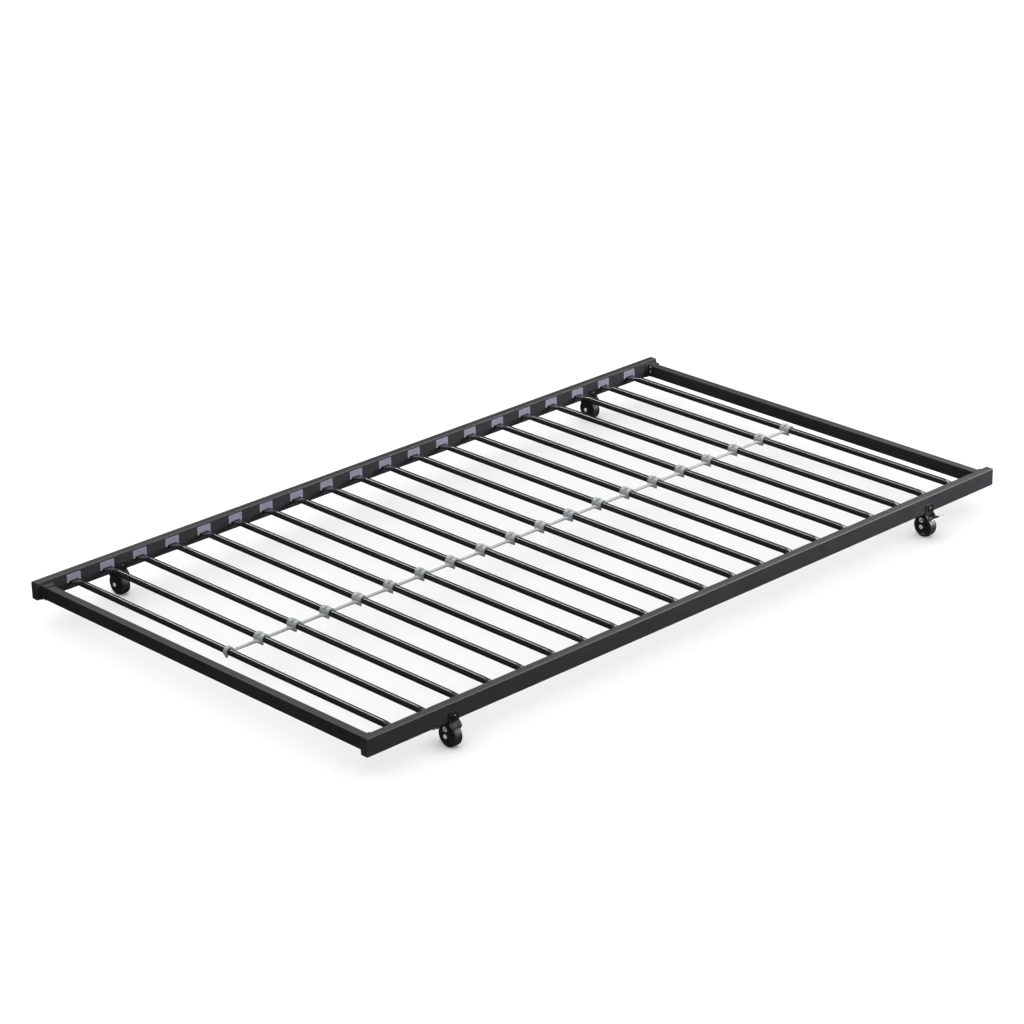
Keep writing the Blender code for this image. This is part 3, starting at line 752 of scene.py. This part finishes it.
def make_bolt(corner):
    """A domed head with a six-sided socket, and its nut on the far side."""
    node = f"saddle_bolt_{corner}"
    low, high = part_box(node)
    centre = (low + high) / 2
    head_face = low.y
    seat = head_face + BOLT_HEAD
    mesh = bmesh.new()
    profile = [(high.y - NUT_HEIGHT / 2, BOLT_RADIUS), (seat, BOLT_RADIUS), (seat, BOLT_HEAD_RADIUS)]
    for step in range(BOLT_DOME_STEPS + 1):
        turn = BOLT_DOME_START + (pi / 2 - BOLT_DOME_START) * step / BOLT_DOME_STEPS
        share = BOLT_FLAT_SHARE + (1 - BOLT_FLAT_SHARE) * cos(turn)
        profile.append((seat - BOLT_HEAD * sin(turn), BOLT_HEAD_RADIUS * share))
    profile.append((head_face, SOCKET_RADIUS * 1.12))
    turned(mesh, profile, "Y", Vector((centre.x, 0.0, centre.z)))
    bolt = make_piece(f"domed_{node}", mesh, "painted_steel", "bed_frame")
    socket = bmesh.new()
    outline = circle(SOCKET_RADIUS, 6, (centre.x, centre.z))
    prism(socket, outline, "Y", head_face - BOLT_HEAD, head_face + SOCKET_DEPTH)
    cut(bolt, socket)
    nut_mesh = bmesh.new()
    hexagon = circle(NUT_RADIUS, 6, (centre.x, centre.z))
    prism(nut_mesh, hexagon, "Y", high.y - NUT_HEIGHT, high.y)
    nut = make_piece(f"nut_{corner}", nut_mesh, "painted_steel", "bed_frame")
    soften_edges(nut, NUT_EDGE)
    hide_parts(node)


def make_wheel(node):
    """A solid wheel: flat tread, rounded shoulders, dished faces and a raised hub."""
    low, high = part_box(node)
    radius = (high.z - low.z) / 2
    face = (high.x - low.x) / 2
    dish = face - DISH_DEPTH
    near_hub, past_hub = HUB_FOOT
    dish_end, wall_start = DISH_SHARES
    wall_end, rim_start = RIM_SHARES
    half = [
        (face, AXLE_BORE),
        (face, HUB_RADIUS - HUB_EDGE),
        (face - HUB_EDGE, HUB_RADIUS),
        (dish + HUB_FOOT_HEIGHT, HUB_RADIUS + near_hub),
        (dish, HUB_RADIUS + past_hub),
        (dish, radius * dish_end),
        (dish + RIM_EDGE, radius * wall_start),
        (face - RIM_EDGE, radius * wall_end),
        (face, radius * rim_start),
    ]
    corner = (face - SHOULDER, radius - SHOULDER)
    half += arc(corner, SHOULDER, 0.0, pi / 2, SHOULDER_STEPS)
    profile = [(-along, out) for along, out in half] + list(reversed(half))
    mesh = bmesh.new()
    turned(mesh, profile, "X", (low + high) / 2, WHEEL_SIDES, bored=True)
    wheel = make_piece(f"tyred_{node}", mesh, "tread", node)
    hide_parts(node)


def make_axle(corner):
    """A pin with a domed, dimpled rivet head outside each leg."""
    node = f"axle_{corner}"
    low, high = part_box(node)
    end = (high.x - low.x) / 2
    dimple = ((end - AXLE_HEAD * 0.35, 0.0012), (end - AXLE_HEAD * 0.15, 0.0022))
    half = [*dimple, (end, AXLE_HEAD_FLAT)]
    for step in range(1, AXLE_HEAD_STEPS + 1):
        turn = pi / 2 * step / AXLE_HEAD_STEPS
        out = AXLE_HEAD_FLAT + (AXLE_HEAD_RADIUS - AXLE_HEAD_FLAT) * sin(turn)
        half.append((end - AXLE_HEAD * (1 - cos(turn)), out))
    half.append((end - AXLE_HEAD, AXLE_RADIUS))
    profile = [(-along, out) for along, out in half] + list(reversed(half))
    mesh = bmesh.new()
    turned(mesh, profile, "X", (low + high) / 2)
    # the rivet heads' near-white zinc is partly a painted highlight
    axle = make_piece(f"riveted_{node}", mesh, "rivet_zinc_painted_glint", f"caster_{corner}")
    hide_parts(node)


def pedal_sheet():
    """Side view of the pedal: a sloping strip of sheet whose tip curls down a little."""
    start, end = Vector(PEDAL_START), Vector(PEDAL_END)
    along = (end - start).normalized()
    above = Vector((along.y, -along.x)) * PEDAL_SHEET / 2
    top, low = [], []
    for step in range(PEDAL_STEPS + 1):
        share = step / PEDAL_STEPS
        point = start.lerp(end, share) - Vector((0.0, PEDAL_CURL * share ** 4))
        top.append(point + above)
        low.append(point - above)
    return [tuple(point) for point in top + low[::-1]]


def lever_arm():
    """From the eye round the pivot to the pedal."""
    tip = (Vector(PEDAL_START) + Vector(PEDAL_END)) / 2
    eye = arc((0.0, 0.0), LEVER_EYE_RADIUS, *LEVER_EYE_ENDS, LEVER_EYE_STEPS)
    return eye + [(tip.x, tip.y + ARM_TIP / 2), (tip.x, tip.y - ARM_TIP / 2)]


def make_lever(corner):
    """A pedal on two arms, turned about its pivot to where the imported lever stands."""
    node, body = f"brake_lever_{corner}", f"brake_{corner}"
    pivot = Vector(next(joint["pos_m"] for joint in frame["joints"] if joint["child"] == body))
    fork_low, fork_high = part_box(f"fork_{corner}")
    half_fork = (fork_high.x - fork_low.x) / 2
    heading = 0.0 if middle(node).y < pivot.y else pi
    tilt = LEVER_TILTS[corner]
    stand = Matrix.Translation(pivot) @ Matrix.Rotation(heading, 4, "Z") @ Matrix.Rotation(tilt, 4, "X")

    mesh = bmesh.new()
    prism(mesh, pedal_sheet(), "X", -PEDAL_HALF_WIDTH, PEDAL_HALF_WIDTH)
    outer = half_fork - FORK_SHEET - LEVER_CLEARANCE
    for side in (-1, 1):
        prism(mesh, lever_arm(), "X", side * (outer - LEVER_SHEET), side * outer)
    bmesh.ops.transform(mesh, matrix=stand, verts=mesh.verts)
    # the lever's dimmed zinc is painted shade
    lever = make_piece(f"plated_{node}", mesh, "lever_zinc_painted_shade", body)
    soften_edges(lever, LEVER_EDGE)
    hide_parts(node)
    for label, side in (("left", -1), ("right", 1)):
        make_ring_rivet(f"ring_rivet_{corner}_{label}", body, pivot, side, outer, half_fork)
        # a dark pin end in each ring rivet is painted shade for the inside of the hollow rivet
        make_rivet_shade_plug(f"rivet_shade_plug_{corner}_{label}", body, pivot, side, outer, half_fork)


def make_ring_rivet(name, body, pivot, side, arm, leg):
    """A hollow rivet through the leg. Its rim is a skin that runs from its crest out and back."""
    bore = RIVET_INNER_RADIUS + RIVET_TUBE_WALL
    seat = leg + LEVER_CLEARANCE
    half_rim = (RIVET_OUTER_RADIUS - RIVET_INNER_RADIUS) / 2
    crest = RIVET_INNER_RADIUS + half_rim
    profile = [(side * arm, bore), (side * arm, RIVET_INNER_RADIUS)]
    for _, out in arc((0.0, crest), half_rim, pi, 0.0, RIVET_STEPS):
        rise = RIVET_HEIGHT * sin(pi * (out - RIVET_INNER_RADIUS) / (2 * half_rim))
        profile.append((side * (seat + rise), out))
    profile.append((side * seat, bore))
    mesh = bmesh.new()
    turned(mesh, profile, "X", pivot, bored=True)
    # the rim's near-white zinc is partly a painted highlight
    make_piece(name, mesh, "rivet_zinc_painted_glint", body)


def make_rivet_shade_plug(name, body, pivot, side, arm, leg):
    """A dark pin end that fills the ring rivet's bore: painted shade, standing in for the shade seen
    down the hollow rivet.
    """
    radius = RIVET_INNER_RADIUS - PIN_CLEARANCE
    profile = (
        (side * (arm - LEVER_SHEET), radius),
        (side * (leg + PIN_STANDS_OUT), radius),
        (side * (leg + 2 * PIN_STANDS_OUT), radius - 2 * PIN_STANDS_OUT),
    )
    mesh = bmesh.new()
    turned(mesh, profile, "X", pivot, sides=PIN_SIDES)
    make_piece(name, mesh, "painted_steel", body)


def stamp(node, body, edge):
    rounded_copy(node, f"stamped_{node}", "painted_steel", body, edge)


def make_caster(corner):
    stamp(f"saddle_{corner}", "bed_frame", SADDLE_EDGE)
    stamp(f"fork_{corner}", f"caster_{corner}", FORK_EDGE)
    make_bolt(corner)
    make_axle(corner)
    make_wheel(f"wheel_{corner}")
    NODES[f"kingpin_{corner}"].material_slots[0].material = FINISHES["zinc_plate"]
    if corner in BRAKED:
        make_lever(corner)


# ---- Studio ----

def make_floor():
    half = FLOOR_SIZE / 2
    corners = ((-half, -half), (half, -half), (half, half), (-half, half))
    mesh = bmesh.new()
    mesh.faces.new([mesh.verts.new((x, y, 0.0)) for x, y in corners])
    data = bpy.data.meshes.new("floor")
    mesh.to_mesh(data)
    mesh.free()
    data.materials.append(FINISHES["floor_paint"])
    floor = bpy.data.objects.new("floor", data)
    bpy.context.scene.collection.objects.link(floor)
    floor.visible_glossy = False
    return floor


def make_camera():
    az, el = CAMERA_AZIMUTH, CAMERA_ELEVATION
    back = Vector((sin(az) * cos(el), -cos(az) * cos(el), sin(el)))
    level = Vector((cos(az), sin(az), 0.0))
    above = back.cross(level)
    c, s = cos(CAMERA_ROLL), sin(CAMERA_ROLL)
    right = c * level + s * above
    up = c * above - s * level
    turn = Matrix((right, up, back)).transposed()
    place = turn @ Vector(CAMERA_OFFSET) + Vector((0.0, 0.0, CAMERA_AIM_HEIGHT))
    data = bpy.data.cameras.new("camera")
    data.lens = CAMERA_LENS
    data.sensor_width = CAMERA_SENSOR
    camera = bpy.data.objects.new("camera", data)
    camera.matrix_world = Matrix.Translation(place) @ turn.to_4x4()
    bpy.context.scene.collection.objects.link(camera)
    bpy.context.scene.camera = camera


def area_light(name, place, aim, size, power, unlit):
    """A lamp for everything but the floor."""
    data = bpy.data.lights.new(name, "AREA")
    data.shape = "RECTANGLE"
    data.size, data.size_y = size
    data.energy = power
    lamp = bpy.data.objects.new(name, data)
    lamp.location = place
    lamp.rotation_euler = (Vector(aim) - Vector(place)).to_track_quat("-Z", "Y").to_euler()
    bpy.context.scene.collection.objects.link(lamp)
    lamp.light_linking.receiver_collection = unlit


def make_lights(floor):
    """The even sky alone lights the white floor, and the lamps light only the bed."""
    world = bpy.data.worlds.new("studio")
    world.use_nodes = True
    background = world.node_tree.nodes["Background"]
    background.inputs["Color"].default_value = (1.0, 1.0, 1.0, 1.0)
    background.inputs["Strength"].default_value = SKY_STRENGTH
    world.cycles_visibility.glossy = False
    scene = bpy.context.scene
    scene.world = world
    scene.view_settings.view_transform = "Standard"
    unlit = bpy.data.collections.new("unlit_by_lamps")
    unlit.objects.link(floor)
    unlit.collection_objects[0].light_linking.link_state = "EXCLUDE"
    for name, place, aim, size, power in LAMPS:
        area_light(name, place, aim, size, power, unlit)


make_camera()
make_lights(make_floor())
dress_frame()
make_corner_screws()
make_slot_liners()
make_slats()
make_centre_support()
for corner_name in CORNERS:
    make_caster(corner_name)

bpy.context.view_layer.update()
